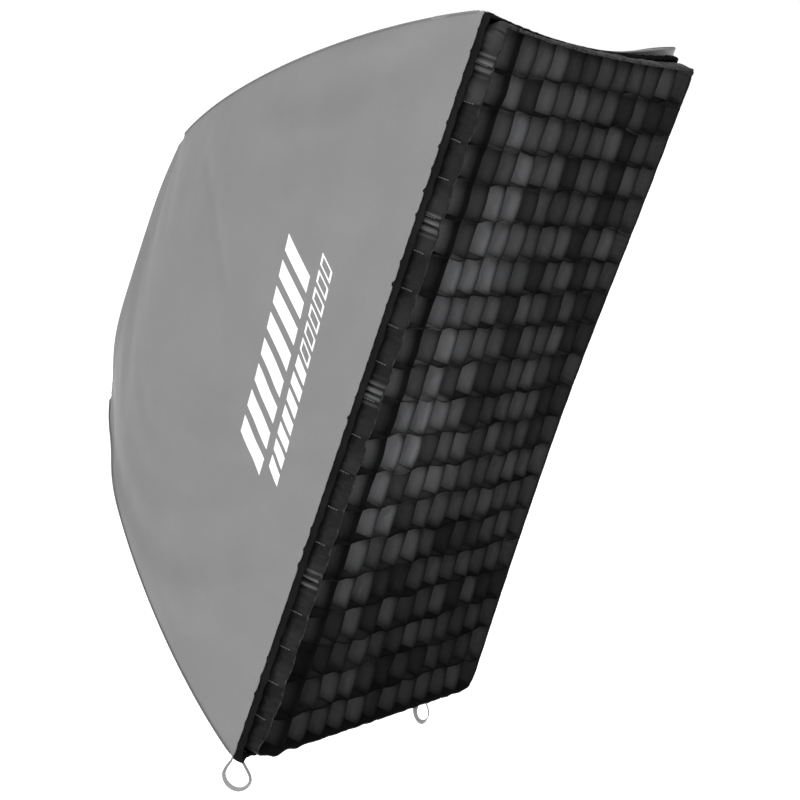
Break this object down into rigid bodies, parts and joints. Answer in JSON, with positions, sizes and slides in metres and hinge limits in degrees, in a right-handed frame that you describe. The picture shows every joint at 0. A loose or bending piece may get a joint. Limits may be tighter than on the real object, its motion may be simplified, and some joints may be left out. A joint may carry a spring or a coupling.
{
  "type": "strip softbox",
  "caption": "Rod-framed rectangular softbox with a bowed fabric shell, two diffusers, a fabric egg-crate grid and a turning lamp-head ring.",
  "frame": {"origin": "centre of the adapter ring's rear face, where it meets the lamp head", "axes": "+Y points back into the lamp head and light leaves along -Y; +Z is the long side of the front, up; +X is the short side"},
  "size_m": [0.6085, 0.479, 0.933],
  "materials": {
    "shell_fabric": "coated woven nylon, matt grey",
    "hem_fabric": "black woven binding",
    "grid_fabric": "black nylon with a soft shine",
    "diffusion_fabric": "white translucent woven polyester",
    "loop_tape": "grey flat woven tape",
    "rod_steel": "grey coated spring steel",
    "ring_metal": "dark anodised, satin",
    "adapter_steel": "zinc plated, satin",
    "knob_plastic": "moulded black"
  },
  "bodies": {
    "adapter": {"adapter_ring": "adapter_steel", "retaining_ring": "ring_metal"},
    "box": {"speed_ring": "ring_metal", "rod_top_right": "rod_steel", "rod_top_left": "rod_steel", "rod_bottom_left": "rod_steel", "rod_bottom_right": "rod_steel", "corner_pocket_top_right": "hem_fabric", "corner_pocket_top_left": "hem_fabric", "corner_pocket_bottom_left": "hem_fabric", "corner_pocket_bottom_right": "hem_fabric", "panel_left": "shell_fabric", "panel_right": "shell_fabric", "panel_top": "shell_fabric", "panel_bottom": "shell_fabric", "front_hem": "hem_fabric", "front_lip": "hem_fabric", "pull_loop_corner": "loop_tape", "pull_loop_edge": "loop_tape"},
    "clamp_knob": {"clamp_knob": "knob_plastic"},
    "rear_flap_top": {"rear_flap_top": "shell_fabric"},
    "rear_flap_bottom": {"rear_flap_bottom": "shell_fabric"},
    "inner_diffuser": {"inner_diffuser": "diffusion_fabric"},
    "front_diffuser": {"front_diffuser": "diffusion_fabric"},
    "grid": {"grid_band": "grid_fabric", "grid_column_01": "grid_fabric", "grid_column_02": "grid_fabric", "grid_column_03": "grid_fabric", "grid_column_04": "grid_fabric", "grid_column_05": "grid_fabric", "grid_column_06": "grid_fabric", "grid_column_07": "grid_fabric", "grid_column_08": "grid_fabric", "grid_column_09": "grid_fabric", "grid_column_10": "grid_fabric", "grid_column_11": "grid_fabric", "grid_row_01": "grid_fabric", "grid_row_02": "grid_fabric", "grid_row_03": "grid_fabric", "grid_row_04": "grid_fabric", "grid_row_05": "grid_fabric", "grid_row_06": "grid_fabric", "grid_row_07": "grid_fabric", "grid_row_08": "grid_fabric", "grid_row_09": "grid_fabric", "grid_row_10": "grid_fabric", "grid_row_11": "grid_fabric", "grid_row_12": "grid_fabric", "grid_row_13": "grid_fabric", "grid_row_14": "grid_fabric", "grid_row_15": "grid_fabric", "grid_row_16": "grid_fabric", "grid_row_17": "grid_fabric", "grid_row_18": "grid_fabric", "grid_row_19": "grid_fabric"}
  },
  "joints": [
    {"name": "box_turn", "type": "hinge", "parent": "adapter", "child": "box", "pos_m": [0, 0, 0], "axis": [0, 1, 0], "continuous": true},
    {"name": "clamp_knob_turn", "type": "hinge", "parent": "box", "child": "clamp_knob", "pos_m": [0, 0, -0.094], "axis": [0, 1, 0], "range_deg": [0, 720]},
    {"name": "rear_flap_top_hinge", "type": "hinge", "parent": "box", "child": "rear_flap_top", "pos_m": [0, -0.024, 0.176], "axis": [1, 0, 0], "range_deg": [0, 110]},
    {"name": "rear_flap_bottom_hinge", "type": "hinge", "parent": "box", "child": "rear_flap_bottom", "pos_m": [0, -0.024, -0.176], "axis": [-1, 0, 0], "range_deg": [0, 110]},
    {"name": "inner_diffuser_off", "type": "slide", "parent": "box", "child": "inner_diffuser", "axis": [0, -1, 0], "range_m": [0, 0.3]},
    {"name": "front_diffuser_off", "type": "slide", "parent": "inner_diffuser", "child": "front_diffuser", "axis": [0, -1, 0], "range_m": [0, 0.12]},
    {"name": "grid_off", "type": "slide", "parent": "front_diffuser", "child": "grid", "axis": [0, -1, 0], "range_m": [0, 0.12]}
  ]
}
